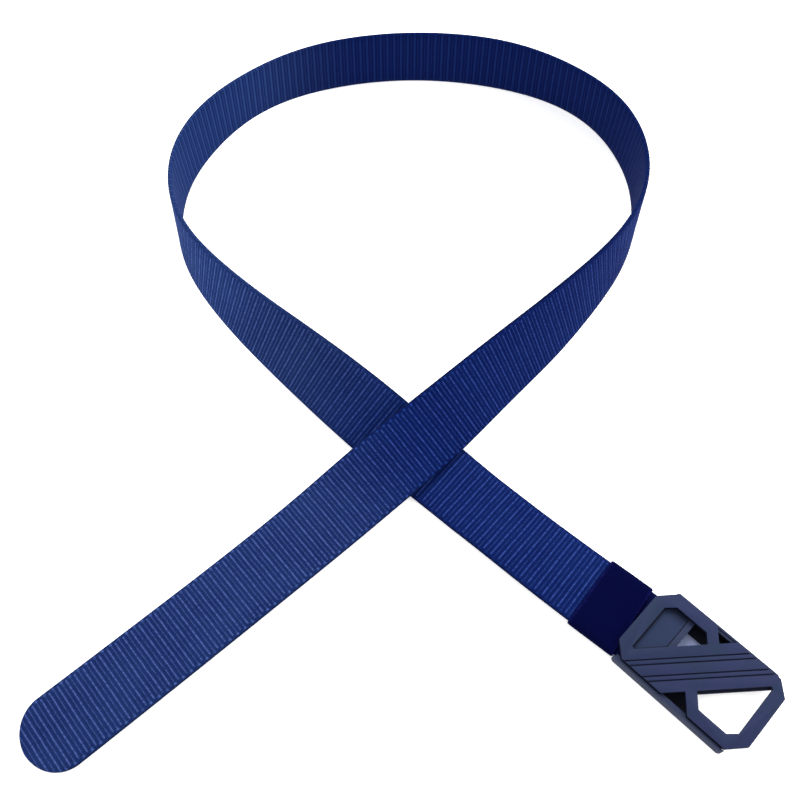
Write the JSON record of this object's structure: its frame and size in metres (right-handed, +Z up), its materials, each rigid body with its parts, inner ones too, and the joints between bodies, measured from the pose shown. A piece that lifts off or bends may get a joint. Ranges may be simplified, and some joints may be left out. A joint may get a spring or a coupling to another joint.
{
  "type": "fabric belt",
  "caption": "Webbing belt lying in a loose loop that crosses itself, with a round cut free end, a woven keeper and a pierced flat box buckle.",
  "frame": {"origin": "the middle of the underside of the part's box, on the surface the belt lies on", "axes": "+Z up from the surface; +Y towards the closed, far side of the loop; +X towards the buckle's side"},
  "size_m": [0.3516, 0.4446, 0.0412],
  "materials": {
    "strap": "ribbed matte",
    "keeper": "woven matte",
    "buckle": "satin"
  },
  "bodies": {
    "root": {"strap": "strap", "keeper": "keeper", "buckle_body": "buckle", "strap_clamp": "buckle", "grip_bar": "buckle"}
  },
  "joints": []
}
